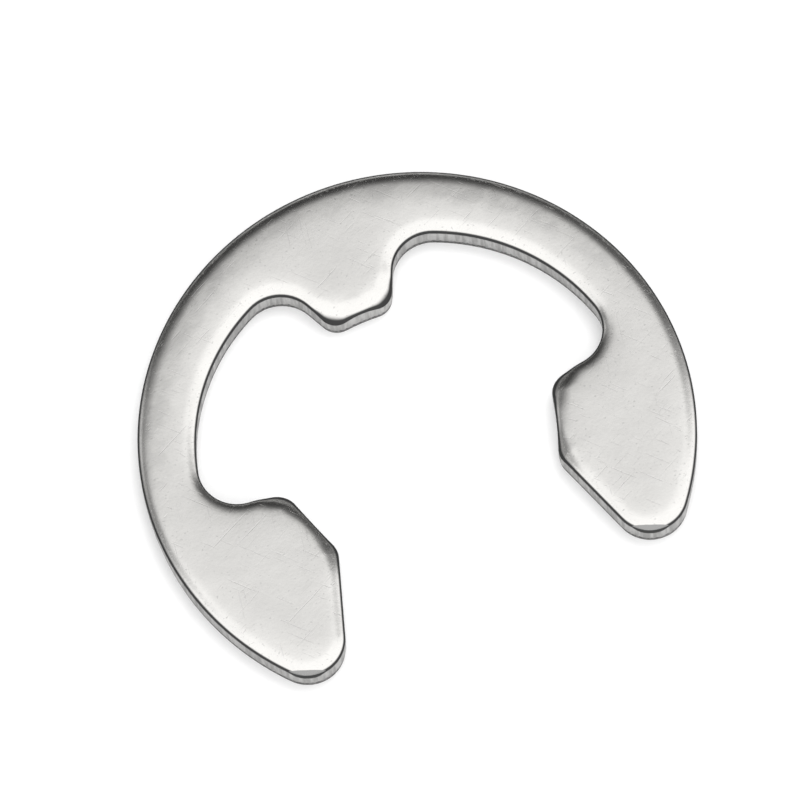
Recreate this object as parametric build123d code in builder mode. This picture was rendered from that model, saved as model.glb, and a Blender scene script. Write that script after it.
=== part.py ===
from build123d import *
import os
from math import cos, degrees, radians, sin, sqrt

# E-clip: an open retaining washer, blanked in one stroke from hard spring strip. It is pushed
# sideways onto a grooved shaft, mouth first, and three seats grip the bottom of the groove:
# one behind the shaft and one on each arm. The mouth faces -Y and the clip lies flat, with
# the face that the die rolled upwards. The origin is the groove's centre on the underside.

# Sizes are in millimetres and angles in degrees. A direction is counted from the mouth.
outer_diameter = 12.0
groove_diameter = 6.0  # the circle that the middle of each seat touches
opening = 5.2  # narrowest part of the mouth
thickness = 0.8

# The band is deepest behind the shaft and thins towards the arms, to bend evenly.
band_back = 1.53
band_side = 1.22
pocket_spread = 0.53  # between the centres of the two pockets

back_seat_width = 1.37
back_seat_radius = 4.5  # a little flatter than the groove
back_flank_lean = 24.8

arm_seat_direction = 72.7
arm_seat_reach = 0.86  # from the middle of the seat to its inner corner
arm_seat_radius = 7.5
arm_flank_direction = 97.5
lead_in_angle = 19  # each side of the mouth

seat_corner_radius = 0.45
pocket_corner_radius = 0.85
tip_radius = 0.82

# The cut edge, from top to bottom: rolled over, sheared straight, then broken off inwards.
die_roll = 0.28
break_height = 0.24
break_depth = 0.03

outer_radius = outer_diameter / 2
groove_radius = groove_diameter / 2


def towards(direction, distance):
    """The point at a distance from the groove's centre, on the right-hand side of the clip."""
    return Vector(sin(radians(direction)), -cos(radians(direction))) * distance


def both_corners(point):
    """The outline's corners at a point and at its mirror image."""
    return [
        outline.vertices().sort_by_distance((side * point.X, point.Y))[0]
        for side in (-1, 1)
    ]


# One round pocket on each side separates the back seat from the arm.
pocket_radius = outer_radius - band_side - pocket_spread / 2
pocket_centre = Vector(pocket_spread / 2, outer_radius - band_back - pocket_radius)

# The back seat is a tab that widens towards the band.
half_back = back_seat_width / 2
back_fall = back_seat_radius - sqrt(back_seat_radius**2 - half_back**2)
back_corner = Vector(half_back, groove_radius - back_fall)

# Each arm's seat is a flat arc. It ends in a rounded nose, where the mouth is narrowest.
arm_seat_centre = towards(arm_seat_direction, groove_radius - arm_seat_radius)
inner_corner = arm_seat_centre + towards(
    arm_seat_direction + degrees(arm_seat_reach / arm_seat_radius), arm_seat_radius
)
nose_x = opening / 2 + seat_corner_radius
nose_fall = sqrt((arm_seat_radius + seat_corner_radius) ** 2 - (nose_x - arm_seat_centre.X) ** 2)
nose_centre = Vector(nose_x, arm_seat_centre.Y - nose_fall)
nose_normal = (nose_centre - arm_seat_centre).normalized()
nose_start = arm_seat_centre + nose_normal * arm_seat_radius
nose_end = nose_centre - towards(90 + lead_in_angle, seat_corner_radius)

with BuildSketch() as outline:
    with BuildLine():
        rim = CenterArc((0, 0), outer_radius, 0, 360, mode=Mode.PRIVATE)
        pocket = CenterArc(pocket_centre, pocket_radius, 0, 360, mode=Mode.PRIVATE)
        back_flank = IntersectingLine(back_corner, towards(180 - back_flank_lean, 1), pocket)
        arm_flank = IntersectingLine(inner_corner, towards(arm_flank_direction, 1), pocket)
        RadiusArc(back_flank @ 1, arm_flank @ 1, pocket_radius)
        RadiusArc(inner_corner, nose_start, arm_seat_radius)
        RadiusArc(nose_start, nose_end, -seat_corner_radius)
        lead_in = IntersectingLine(nose_end, towards(lead_in_angle, 1), rim)
        mirror(about=Plane.YZ)
        RadiusArc((-back_corner.X, back_corner.Y), back_corner, back_seat_radius)
        tip = lead_in @ 1
        ThreePointArc((-tip.X, tip.Y), (0, outer_radius), tip)
    make_face()
    fillet(both_corners(back_corner) + both_corners(inner_corner), radius=seat_corner_radius)
    pocket_corners = both_corners(back_flank @ 1) + both_corners(arm_flank @ 1)
    flank_room = min(back_flank.length, arm_flank.length) - seat_corner_radius
    fillet(pocket_corners, radius=min(pocket_corner_radius, 0.8 * flank_room))
    fillet(both_corners(tip), radius=tip_radius)

with BuildPart() as e_clip:
    add(outline.sketch)
    extrude(amount=thickness)
    fillet(e_clip.edges().group_by(Axis.Z)[-1], radius=die_roll)
    underside = e_clip.faces().sort_by(Axis.Z)[0]
    chamfer(underside.edges(), break_depth, break_height, reference=underside)
e_clip.part.label = "e_clip"

os.makedirs("parts", exist_ok=True)
export_step(e_clip.part, "parts/e_clip.step")
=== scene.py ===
import math

import bmesh
import bpy
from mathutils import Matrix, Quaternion, Vector
from mathutils.bvhtree import BVHTree
from mathutils.kdtree import KDTree


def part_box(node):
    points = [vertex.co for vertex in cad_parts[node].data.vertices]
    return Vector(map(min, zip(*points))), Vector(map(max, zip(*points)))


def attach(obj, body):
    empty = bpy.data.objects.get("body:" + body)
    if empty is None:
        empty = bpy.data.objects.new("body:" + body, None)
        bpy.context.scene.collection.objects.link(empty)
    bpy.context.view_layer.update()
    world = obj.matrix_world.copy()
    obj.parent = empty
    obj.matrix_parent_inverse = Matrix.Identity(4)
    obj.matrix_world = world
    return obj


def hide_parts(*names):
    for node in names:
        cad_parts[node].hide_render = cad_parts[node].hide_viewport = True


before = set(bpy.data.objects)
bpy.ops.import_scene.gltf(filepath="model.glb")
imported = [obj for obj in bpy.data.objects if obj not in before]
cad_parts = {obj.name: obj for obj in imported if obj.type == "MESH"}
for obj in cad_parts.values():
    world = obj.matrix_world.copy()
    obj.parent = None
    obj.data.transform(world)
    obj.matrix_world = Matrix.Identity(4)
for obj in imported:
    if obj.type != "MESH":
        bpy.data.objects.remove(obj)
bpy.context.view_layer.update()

# The blank. One stroke of the press cuts the clip from hard stainless strip. Half of its outline
# is the belt that runs round the pins below, from the middle of the back seat to the top of the
# rim. A pin of negative radius stands in the empty space, and one of positive radius in the steel.
MM = 0.001
low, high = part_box("e_clip")
rim_radius = round(high.x, 4)
groove_radius = 3.0 * MM
opening = 5.2 * MM
band_back, band_side = 1.53 * MM, 1.22 * MM
pocket_aside = 0.265 * MM
back_seat_half, back_seat_radius = 0.685 * MM, 4.5 * MM
arm_seat_direction, arm_seat_reach, arm_seat_radius = 72.7, 0.86 * MM, 7.5 * MM
corner_radius, root_radius, tip_radius = 0.45 * MM, 0.85 * MM, 0.82 * MM
outline_step, outline_turn = 0.1 * MM, math.radians(6)


def towards(degrees, reach=1.0):
    """A step in the plane of the clip, its direction counted from the mouth to the right arm."""
    return Vector((math.sin(math.radians(degrees)), -math.cos(math.radians(degrees)))) * reach


def left_of(direction):
    return Vector((-direction.y, direction.x))


def meet(start, direction, centre, reach):
    """The point ahead on a straight line that lies at a distance from a centre."""
    along = (centre - start).dot(direction)
    return start + direction * (along + math.sqrt(along**2 + reach**2 - (centre - start).length_squared))


pocket_radius = rim_radius - band_side - pocket_aside
pocket = Vector((pocket_aside, rim_radius - band_back - pocket_radius))

back_seat = Vector((0, groove_radius - back_seat_radius))
back_edge = meet(Vector((back_seat_half, 0)), towards(180), back_seat, back_seat_radius)
back_flank = towards(155.2)

arm_seat = towards(arm_seat_direction, groove_radius - arm_seat_radius)
arm_edge_direction = arm_seat_direction + math.degrees(arm_seat_reach / arm_seat_radius)
arm_edge = arm_seat + towards(arm_edge_direction, arm_seat_radius)
arm_flank = towards(97.5)

nose_line = Vector((opening / 2 + corner_radius, arm_seat.y))
nose = meet(nose_line, towards(0), arm_seat, arm_seat_radius + corner_radius)
lead_in = towards(19)
tip_line = nose + left_of(lead_in) * (tip_radius - corner_radius)
tip = meet(tip_line, lead_in, Vector((0, 0)), rim_radius - tip_radius)


def pin_between(edge, flank, aside, centre, reach):
    """The centre of the small arc that joins a flank to a round edge."""
    return meet(edge + left_of(flank) * aside, flank, centre, reach)


pins = [
    (back_seat, -back_seat_radius),
    (pin_between(back_edge, back_flank, corner_radius, back_seat, back_seat_radius + corner_radius),
     corner_radius),
    (pin_between(back_edge, back_flank, -root_radius, pocket, pocket_radius - root_radius),
     -root_radius),
    (pocket, -pocket_radius),
    (pin_between(arm_edge, arm_flank, root_radius, pocket, pocket_radius - root_radius),
     -root_radius),
    (pin_between(arm_edge, arm_flank, -corner_radius, arm_seat, arm_seat_radius + corner_radius),
     corner_radius),
    (arm_seat, -arm_seat_radius),
    (nose, corner_radius),
    (tip, tip_radius),
    (Vector((0, 0)), rim_radius),
]


def far_end(spun):
    """The vertex at which a spin ended."""
    return next(item for item in spun["geom_last"] if isinstance(item, bmesh.types.BMVert))


clip = bmesh.new()
pen = clip.verts.new((0, groove_radius, high.z))
facing = 0.0
for (centre, radius), (next_centre, next_radius) in zip(pins, pins[1:] + pins[:1]):
    step = next_centre - centre
    if next_radius == -back_seat_radius:
        leaving, straight = math.pi, 0.0
    else:
        leaving = math.atan2(step.y, step.x) - math.asin(round((next_radius - radius) / step.length, 6))
        straight = math.sqrt(max(0.0, step.length_squared - (next_radius - radius) ** 2))
    turn = (leaving - facing) % math.copysign(math.tau, radius)
    pieces = math.ceil(max(abs(turn * radius) / outline_step, abs(turn) / outline_turn))
    pen = far_end(bmesh.ops.spin(
        clip, geom=[pen], cent=centre.to_3d(), axis=(0, 0, 1), angle=turn, steps=pieces,
    ))
    if straight > outline_step / 10:
        pieces = math.ceil(straight / outline_step)
        shift = Vector((math.cos(leaving), math.sin(leaving), 0)) * straight / pieces
        pen = far_end(bmesh.ops.spin(clip, geom=[pen], axis=(0, 0, 1), dvec=shift, steps=pieces))
    facing = leaving
bmesh.ops.mirror(clip, geom=clip.verts[:] + clip.edges[:], axis="X", merge_dist=outline_step / 100)

# The cut edge. The die shears the wall straight, and the last of the steel breaks off towards
# the underside and leaves a wall that leans in a little.
break_height, break_depth = 0.24 * MM, 0.02 * MM
wall = bmesh.ops.extrude_edge_only(clip, edges=clip.edges[:])["geom"]
wall_foot = [item for item in wall if isinstance(item, bmesh.types.BMVert)]
bmesh.ops.translate(clip, verts=wall_foot, vec=(0, 0, low.z + break_height - high.z))
cut_wall = BVHTree.FromBMesh(clip)
bmesh.ops.holes_fill(clip, edges=clip.edges[:], sides=0)
bmesh.ops.recalc_face_normals(clip, faces=clip.faces[:])
clip.normal_update()
underside = min(clip.faces, key=lambda face: face.normal.z)
upper_face = max(clip.faces, key=lambda face: face.normal.z)
bmesh.ops.inset_region(
    clip, faces=[underside], use_boundary=True, use_even_offset=True,
    thickness=break_depth, depth=break_height,
)

# The upper face. The die draws it down round every edge, and furthest at the corners of the seats:
# a rolled rim falls to the wall, and a low crown runs on from it. The back of the band is dished a
# little too, and each tip ends in a small flat where it was nipped from the strip.
roll_width, roll_height = 0.3 * MM, 0.1 * MM
crown_height, crown_reach = 0.05 * MM, 0.22 * MM
corner_draw, corner_reach, corner_end = 0.5, 0.4 * MM, 1.0 * MM
dish_radius, dish_slope, dish_blend, dish_front = 5.38 * MM, 0.04, 0.05 * MM, 0.4
nip_direction, nip_depth, nip_slope, nip_drop = towards(-22.5), 0.12 * MM, 0.5, 0.07 * MM
roll_rings, flat_rings, flat_ring_width = 12, 2, 0.04 * MM
grid_step = 0.12 * MM
wall_middle = (low.z + high.z) / 2

wall_edges = [edge for edge in clip.edges if abs(edge.verts[0].co.z - edge.verts[1].co.z) > outline_step]
wall_bends = [edge.calc_face_angle_signed() for edge in wall_edges]
bend_tree = KDTree(len(wall_edges))
for number, edge in enumerate(wall_edges):
    bend_tree.insert(edge.verts[0].co.xy.to_3d(), number)
bend_tree.balance()
nip_lines = [
    Vector((tip.x * side, tip.y)).dot(nip_direction) + tip_radius - nip_depth for side in (-1, 1)
]


def sink(place):
    """How far the upper face lies below its highest level, at a place in the plane."""
    aside = cut_wall.find_nearest(Vector((*place, wall_middle)))[3]
    near = bend_tree.find_range(place.to_3d(), 3 * corner_reach)
    bend = sum(wall_bends[number] * math.exp(-((gap / corner_reach) ** 2)) for _, number, gap in near)
    ease = max(0.0, min(1.0, 1 + (place.y - nose.y) / corner_end))
    draw = 1 + corner_draw * max(0.0, bend) * ease
    rolled = max(0.0, 1 - aside / (roll_width * draw))
    roll = roll_height * draw * (1 - math.sqrt(1 - rolled**2))
    crown = crown_height * draw * math.exp(-aside / (crown_reach * math.sqrt(draw)))
    dish = dish_slope * dish_blend * math.log1p(math.exp((place.length - dish_radius) / dish_blend))
    dish *= dish_front + (1 - dish_front) * max(0.0, min(1.0, place.y / high.y))
    past_nip = place.dot(nip_direction) - nip_lines[place.x > 0]
    nip = nip_drop + nip_slope * past_nip if past_nip > 0 and place.y < tip.y / 2 else 0.0
    return max(roll + crown + dish, nip)


inset = 0.0
for ring in range(1, roll_rings + flat_rings + 1):
    if ring <= roll_rings:
        next_inset = roll_width * (1 - math.cos(math.pi / 2 * ring / roll_rings))
    else:
        next_inset = inset + flat_ring_width
    bmesh.ops.inset_region(
        clip, faces=[upper_face], use_boundary=True, use_even_offset=True,
        thickness=next_inset - inset,
    )
    inset = next_inset
top = [upper_face] + upper_face.edges[:] + upper_face.verts[:]
for axis in (Vector((1, 0, 0)), Vector((0, 1, 0))):
    first, last = low.dot(axis), high.dot(axis)
    cuts = math.floor((last - first) / grid_step)
    for number in range(1, cuts + 1):
        cut_at = axis * (first + (last - first) * number / (cuts + 1))
        top = bmesh.ops.bisect_plane(clip, geom=top, plane_co=cut_at, plane_no=axis)["geom"]
for vert in clip.verts:
    if vert.co.z > wall_middle:
        vert.co.z = high.z - sink(vert.co.xy)
for face in clip.faces:
    face.smooth = True
for edge in clip.edges:
    if edge.verts[0].co.z < wall_middle and edge.calc_face_angle(0) > math.radians(5):
        edge.smooth = False
bmesh.ops.recalc_face_normals(clip, faces=clip.faces[:])
mesh = bpy.data.meshes.new("stamped_clip")
clip.to_mesh(mesh)
clip.free()
stamped_clip = bpy.data.objects.new("stamped_clip", mesh)
bpy.context.collection.objects.link(stamped_clip)

# The finish. Both faces are tumbled bright, with faint clouds and fine scuffs. The back half of the
# outer rim is darkened as painted shade. The wall shows upright shear marks between two dark lines:
# the upper one, running on over the steep part of the rolled rim, is a painted dark reflection, and
# the lower one is the ragged broken edge at the bottom, darkened further by painted contact shade.
# The second face colour serves the clouds, scuffs and specks, and also the painted shade at the back of the
# rim.
face_colour, dull_and_shade_colour = (0.74, 0.73, 0.71, 1), (0.6, 0.592, 0.578, 1)
wall_colour, mark_colour = (0.54, 0.536, 0.529, 1), (0.38, 0.377, 0.372, 1)
# The near-black colour is a painted dark reflection along the top of the wall and, mixed with shear marks,
# the ragged burr and painted contact shade at the bottom.
burr_and_shade_colour, nip_colour = (0.06, 0.06, 0.06, 1), (0.3, 0.299, 0.296, 1)
lip_shade_height, lip_shade_blend = 0.62 * MM, 0.03 * MM
foot_height, foot_blend = 0.14 * MM, 0.05 * MM
bump_depth = 0.001 * MM


class Wire:
    """An output socket of a material. A sum written with it adds its Math nodes."""

    def __init__(self, socket):
        self.socket = socket

    def node(self, kind, settings={}, sockets={}, output=0):
        """Adds a node: first its settings, then the values or links of its sockets."""
        tree = self.socket.id_data
        new = tree.nodes.new(kind)
        for name, setting in settings.items():
            setattr(new, name, setting)
        for name, value in sockets.items():
            if isinstance(value, Wire):
                tree.links.new(value.socket, new.inputs[name])
            else:
                new.inputs[name].default_value = value
        return Wire(new.outputs[output])

    def feed(self, socket):
        """Links this wire to a socket of the shader."""
        self.socket.id_data.links.new(self.socket, socket)

    def maths(self, operation, *values):
        return self.node("ShaderNodeMath", {"operation": operation}, dict(enumerate(values)))

    def most(self, other):
        return self.maths("MAXIMUM", self, other)

    def size(self):
        return self.maths("ABSOLUTE", self)

    def __add__(self, other):
        return self.maths("ADD", self, other)

    def __sub__(self, other):
        return self.maths("SUBTRACT", self, other)

    def __rsub__(self, other):
        return self.maths("SUBTRACT", other, self)

    def __mul__(self, other):
        return self.maths("MULTIPLY", self, other)

    __radd__, __rmul__ = __add__, __mul__


spring_steel = bpy.data.materials.new("tumbled_spring_steel")
spring_steel.use_nodes = True
steel_nodes = spring_steel.node_tree
shader = steel_nodes.nodes["Principled BSDF"]
place = Wire(steel_nodes.nodes.new("ShaderNodeTexCoord").outputs["Object"])
lean = Wire(place.socket.node.outputs["Normal"])


def fade(wire, start, end):
    """Goes smoothly from 0 to 1 between two levels of a value."""
    settings = {"interpolation_type": "SMOOTHSTEP"}
    return wire.node("ShaderNodeMapRange", settings, {"Value": wire, "From Min": start, "From Max": end})


def blend(amount, start, end):
    """Mixes two colours, each a wire or a plain colour. Sockets 6 and 7 are the node's colours."""
    settings = {"data_type": "RGBA"}
    return amount.node("ShaderNodeMix", settings, {"Factor": amount, 6: start, 7: end}, output=2)


def share(wire, direction):
    """How far a vector reaches in a direction."""
    settings, sockets = {"operation": "DOT_PRODUCT"}, {0: wire, 1: direction}
    return wire.node("ShaderNodeVectorMath", settings, sockets, output="Value")


def along(wire, axis):
    return wire.node("ShaderNodeSeparateXYZ", sockets={"Vector": wire}, output=axis)


def grain(length, width, turn=0.0, upright=None, detail=2.0):
    """Noise with grains of a length, laid at a turn in the plane, and a width across."""
    laid = place.node("ShaderNodeMapping", {"vector_type": "TEXTURE"}, {
        "Vector": place, "Rotation": (0, 0, math.radians(turn)), "Scale": (length, width, upright or width),
    })
    return laid.node("ShaderNodeTexNoise", sockets={"Vector": laid, "Scale": 1, "Detail": detail})


height = along(place, "Z")
fore = 0 - along(place, "Y")
radius = place.node("ShaderNodeVectorMath", {"operation": "LENGTH"}, {0: place}, output="Value")
upright = along(lean, "Z")

clouds = grain(0.7 * MM, 0.6 * MM, 30, detail=4.0)
grit = grain(0.07 * MM, 0.06 * MM, detail=3.0)
scuffs = fade(grain(1.6 * MM, 0.035 * MM, 25), 0.66, 0.74)
scuffs = scuffs.most(fade(grain(1.1 * MM, 0.03 * MM, -48), 0.67, 0.74))
scuffs = scuffs.most(fade(grain(2.2 * MM, 0.04 * MM, 80), 0.67, 0.75))
specks = fade(grain(0.06 * MM, 0.05 * MM, detail=0.0), 0.74, 0.8)
streaks = grain(0.09 * MM, 0.09 * MM, upright=1.2 * MM)
ragged = grain(0.06 * MM, 0.06 * MM)

# Painted shade: the outer rim is darkened on its back half, where it would mirror the dark room behind.
back_rim_shade = fade(radius, 5.0 * MM, 5.7 * MM) * fade(fore, 0, -3 * MM)
back_rim_shade = back_rim_shade * fade(grain(0.5 * MM, 0.4 * MM, 10, detail=5.0), 0.42, 0.62)
dull_and_back_shade = fade(clouds, 0.3, 0.7) * 0.14 + scuffs * 0.15 + fade(grit, 0.35, 0.7) * 0.08 + back_rim_shade * 0.6
face = blend(dull_and_back_shade + specks * 0.8, face_colour, dull_and_shade_colour)

right_arm = height.maths("GREATER_THAN", along(place, "X"), 0)
past_nip = share(place, nip_direction.to_3d())
past_nip = past_nip - (nip_lines[0] + right_arm * (nip_lines[1] - nip_lines[0]))
tips = fade(fore, 3 * MM, 3.4 * MM)
nip = fade(past_nip, 0, 0.01 * MM) * tips * fade(upright, 0.5, 0.6)
nip_burr = fade(past_nip, 0, nip_depth) * tips * 0.12 * MM

# This mask takes the sheared wall and also the steep part of the rolled rim, which gets the wall's colours
# and so is painted dark as a reflection.
cut_and_rim_shade = fade(upright.size(), 0.84, 0.72)
# Painted reflection: the top of the wall and the steep rolled rim take the near-black colour.
painted_lip_shade = fade(height + ragged * 0.04 * MM + nip_burr, lip_shade_height, lip_shade_height + lip_shade_blend)
painted_lip_shade = painted_lip_shade.most(fade(upright, 0.05, 0.2))
# The bottom of the wall is a ragged broken edge, darkened further as painted contact shade.
foot_burr_and_shade = fade(height + (ragged + streaks - 1) * 0.16 * MM, foot_height + foot_blend, foot_height)
line = blend(fade(ragged, 0.3, 0.8) * (1 - painted_lip_shade), burr_and_shade_colour, mark_colour)
side = blend(fade(streaks, 0.35, 0.65), wall_colour, mark_colour)
side = blend(painted_lip_shade.most(foot_burr_and_shade * 0.9), side, line)
blend(nip, blend(cut_and_rim_shade, face, side), nip_colour).feed(shader.inputs["Base Color"])
shader.inputs["Metallic"].default_value = 1
shader.inputs["Specular Tint"].default_value = (0.6, 0.6, 0.6, 1)
roughness = 0.2 + clouds * 0.06 + scuffs * 0.05 + cut_and_rim_shade * 0.3
roughness.feed(shader.inputs["Roughness"])
relief = clouds * 5 + grit - scuffs + cut_and_rim_shade * (streaks * 6 + ragged * 2)
bump = relief.node("ShaderNodeBump", sockets={"Height": relief, "Distance": bump_depth, "Strength": 1})
bump.feed(shader.inputs["Normal"])
mesh.materials.append(spring_steel)
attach(stamped_clip, "root")
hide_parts("e_clip")

# The paper. The clip lies on a large sheet of white paper, which a soft box from behind lights, so
# that the shadow falls to the front. The box is kept out of the steel's reflections. The paper
# glows a little where it is seen, straight or in the steel, and lights nothing by that.
floor_half, floor_gap = 1.5, 0.01 * MM
ground = bmesh.new()
bmesh.ops.create_grid(ground, x_segments=1, y_segments=1, size=floor_half)
bmesh.ops.translate(ground, verts=ground.verts[:], vec=(0, 0, low.z - floor_gap))
floor_mesh = bpy.data.meshes.new("floor")
ground.to_mesh(floor_mesh)
ground.free()
floor = bpy.data.objects.new("floor", floor_mesh)
bpy.context.collection.objects.link(floor)

paper_white, paper_lift = 0.75, 0.24
paper = bpy.data.materials.new("white_paper")
paper.use_nodes = True
paper_shader = paper.node_tree.nodes["Principled BSDF"]
paper_shader.inputs["Base Color"].default_value = (paper_white, paper_white, paper_white, 1)
paper_shader.inputs["Roughness"].default_value = 0.9
paper_shader.inputs["Emission Strength"].default_value = 1
path = paper.node_tree.nodes.new("ShaderNodeLightPath")
seen, glossy, through = (
    Wire(path.outputs[name]) for name in ("Is Camera Ray", "Is Glossy Ray", "Is Transmission Ray")
)
lift = blend(seen.most(glossy).most(through), (0, 0, 0, 1), (paper_lift, paper_lift, paper_lift, 1))
lift.feed(paper_shader.inputs["Emission Color"])
floor_mesh.materials.append(paper)

soft_box = bpy.data.lights.new("soft_box", "AREA")
soft_box.size = 0.3
soft_box.energy = 1.2
back_box = bpy.data.objects.new("soft_box", soft_box)
back_box.location = (0.14, 0.15, 0.48)
back_box.rotation_euler = (-back_box.location).to_track_quat("-Z", "Y").to_euler()
back_box.visible_glossy = False
bpy.context.collection.objects.link(back_box)

# The tent. White cloth hangs round the table in front and overhead. It is open at the back, where
# the room is dark, and thinner at the sides. Its hem is pale all round, and higher on the left.
cloth_light, overhead_light, most_light, room_light = 1.54, 1.0, 1.38, 0.04
side_shade, corner_shade = 0.8, 0.75
left_hem_light, low_hem_light = 0.5, 0.7
front = Vector((-0.04, -1, 0)).normalized()
world = bpy.data.worlds.new("tent")
bpy.context.scene.world = world
world.use_nodes = True
background = world.node_tree.nodes["Background"]
background.inputs["Color"].default_value = (1, 1, 1, 1)
ray = Wire(world.node_tree.nodes.new("ShaderNodeTexCoord").outputs["Generated"])
ahead = share(ray, front)
leftward = 0 - along(ray, "X")
up = along(ray, "Z")
cloth = fade(ahead, -0.87, 0.08) * fade(up, -0.1, 0.3) * cloth_light
sides = fade(leftward.size(), 0.38, 0.7) * fade(ahead, 0, -0.3) * fade(ahead, -0.65, -0.45)
corner = fade(leftward, -0.3, -0.6) * fade(ahead, -0.3, -0.5)
hem = fade(up, 0.6, 0.4) * fade(leftward, 0.48, 0.64) * left_hem_light
hem = hem.most(fade(up, 0.18, 0.02) * low_hem_light) * fade(ahead, -0.3, -0.6)
cloth = cloth * (1 - sides * side_shade) * (1 - corner * corner_shade) + hem + room_light
cloth = cloth + fade(ahead, 0.5, 0.8) * fade(up, 0.1, 0.35) * overhead_light
cloth.maths("MINIMUM", cloth, most_light).feed(background.inputs["Strength"])

# The camera looks down on the clip from the mouth side, a little from the left, and is turned a
# few degrees about its own line of sight.
eye = Vector((-26.35, -83.47, 250.49)) * MM
aim = Vector((0, 0.94, 0.4)) * MM
tilt = Quaternion((0, 0, 1), math.radians(-6.47))
camera = bpy.data.objects.new("camera", bpy.data.cameras.new("camera"))
camera.data.lens = 556
camera.data.sensor_width = 36
camera.data.clip_start, camera.data.clip_end = 0.01, 20
camera.location = eye
camera.rotation_mode = "QUATERNION"
camera.rotation_quaternion = (aim - eye).to_track_quat("-Z", "Y") @ tilt
bpy.context.collection.objects.link(camera)
bpy.context.scene.camera = camera
bpy.context.scene.view_settings.view_transform = "Standard"
